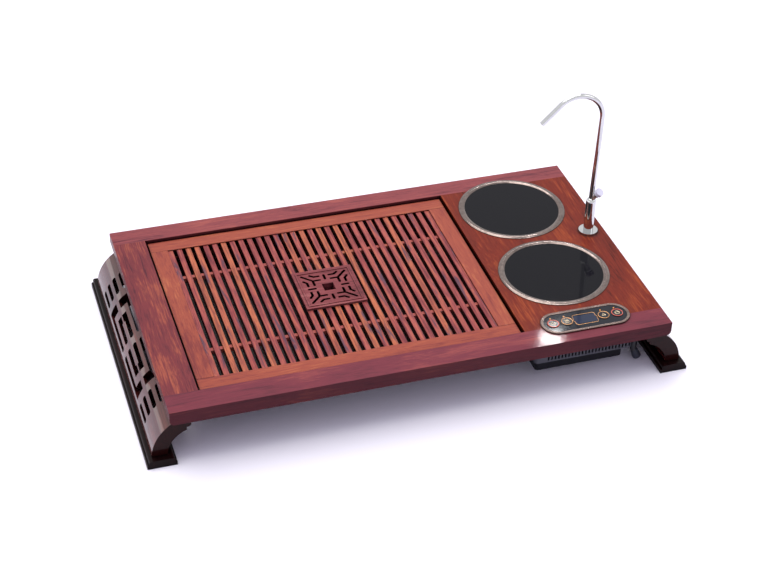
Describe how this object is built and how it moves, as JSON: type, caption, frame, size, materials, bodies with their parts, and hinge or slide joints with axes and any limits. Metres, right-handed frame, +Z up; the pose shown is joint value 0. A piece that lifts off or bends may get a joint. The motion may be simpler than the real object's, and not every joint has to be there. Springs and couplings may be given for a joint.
{
  "type": "tea tray with built-in hobs",
  "caption": "Wooden tea tray on pierced board legs, with a lift-out slatted grate over a drain basin, built-in round hobs, a control panel and a swivelling gooseneck spout.",
  "frame": {"origin": "centre of the footprint on the floor", "axes": "+X along the tray towards the cooker, +Y to the back, +Z up"},
  "size_m": [0.874, 0.48, 0.3697],
  "materials": {
    "rail_wood": "satin lacquer",
    "stile_wood": "satin lacquer",
    "board_wood": "gloss lacquer",
    "leg_wood": "gloss lacquer",
    "base_wood": "gloss lacquer",
    "grate_wood": "satin lacquer",
    "slat_wood": "satin lacquer",
    "medallion_wood": "satin lacquer",
    "ring_chrome": "polished",
    "spout_chrome": "polished",
    "hob_glass": "polished, opaque",
    "basin_plastic": "moulded",
    "strainer_steel": "brushed",
    "screw_steel": "plated",
    "coil_copper": "lacquered wire",
    "sink_aluminium": "matt",
    "nut_brass": "plain",
    "housing_plastic": "fine texture",
    "pan_plastic": "fine texture",
    "black_plastic": "moulded",
    "pump_plastic": "moulded",
    "board_green": "solder mask",
    "cable_grey": "plain",
    "hose_silicone": "plain",
    "nozzle_soft": "plain",
    "seal_rubber": "plain",
    "bezel_trim": "plated look",
    "panel_black": "high gloss",
    "window_plastic": "high gloss",
    "lamp_plastic": "clear amber",
    "button_plastic": "gloss",
    "knob_plastic": "satin"
  },
  "bodies": {
    "tray": {"front_rail": "rail_wood", "rear_rail": "rail_wood", "left_stile": "stile_wood", "cooker_board": "board_wood", "left_leg_panel": "leg_wood", "right_leg_panel": "leg_wood", "left_base_rail": "base_wood", "right_base_rail": "base_wood", "leg_screws": "screw_steel", "drain_basin": "basin_plastic", "basin_screws": "screw_steel", "drain_spigot": "black_plastic", "drain_gasket": "seal_rubber", "drain_nut": "black_plastic", "drain_strainer": "strainer_steel", "front_hob_ring": "ring_chrome", "rear_hob_ring": "ring_chrome", "front_hob_glass": "hob_glass", "rear_hob_glass": "hob_glass", "front_coil": "coil_copper", "rear_coil": "coil_copper", "front_coil_carrier": "black_plastic", "rear_coil_carrier": "black_plastic", "housing_tub": "housing_plastic", "housing_pan": "pan_plastic", "housing_screws": "screw_steel", "circuit_board": "board_green", "heat_sink": "sink_aluminium", "fan_frame": "black_plastic", "water_pump": "pump_plastic", "inlet_elbow": "black_plastic", "inlet_nozzle": "nozzle_soft", "delivery_hose": "hose_silicone", "control_cable": "cable_grey", "cable_gland": "black_plastic", "panel_bezel": "bezel_trim", "panel_plate": "panel_black", "display_window": "window_plastic", "switch_board": "board_green", "indicator_lamps": "lamp_plastic", "spout_base": "spout_chrome", "spout_seal": "seal_rubber", "spout_nut": "nut_brass", "spout_elbow": "black_plastic"},
    "grate": {"grate_front_rail": "grate_wood", "grate_rear_rail": "grate_wood", "grate_left_stile": "grate_wood", "grate_right_stile": "grate_wood", "slats": "slat_wood", "front_batten": "slat_wood", "rear_batten": "slat_wood", "medallion": "medallion_wood"},
    "spout": {"spout_body": "spout_chrome", "gooseneck": "spout_chrome"},
    "knob": {"flow_knob": "knob_plastic"},
    "fan": {"fan_rotor": "black_plastic"},
    "left_outer_button": {"left_outer_button": "button_plastic"},
    "left_inner_button": {"left_inner_button": "button_plastic"},
    "right_inner_button": {"right_inner_button": "button_plastic"},
    "right_outer_button": {"right_outer_button": "button_plastic"}
  },
  "joints": [
    {"name": "grate_lift", "type": "slide", "parent": "tray", "child": "grate", "axis": [0, 0, 1], "range_m": [0, 0.12]},
    {"name": "spout_swivel", "type": "hinge", "parent": "tray", "child": "spout", "pos_m": [0.372, 0.0335, 0.1283], "axis": [0, 0, 1], "range_deg": [-90, 90]},
    {"name": "flow_turn", "type": "hinge", "parent": "spout", "child": "knob", "pos_m": [0.372, 0.0335, 0.162], "axis": [0.2796, -0.4843, 0.829], "range_deg": [0, 90]},
    {"name": "fan_spin", "type": "hinge", "parent": "tray", "child": "fan", "pos_m": [0.2714, 0.0335, 0.037], "axis": [0, 0, 1], "continuous": true},
    {"name": "left_outer_press", "type": "slide", "parent": "tray", "child": "left_outer_button", "axis": [0, 0, -1], "range_m": [0, 0.0008], "stiffness_N_per_m": 1500},
    {"name": "left_inner_press", "type": "slide", "parent": "tray", "child": "left_inner_button", "axis": [0, 0, -1], "range_m": [0, 0.0008], "stiffness_N_per_m": 1500},
    {"name": "right_inner_press", "type": "slide", "parent": "tray", "child": "right_inner_button", "axis": [0, 0, -1], "range_m": [0, 0.0008], "stiffness_N_per_m": 1500},
    {"name": "right_outer_press", "type": "slide", "parent": "tray", "child": "right_outer_button", "axis": [0, 0, -1], "range_m": [0, 0.0008], "stiffness_N_per_m": 1500}
  ]
}
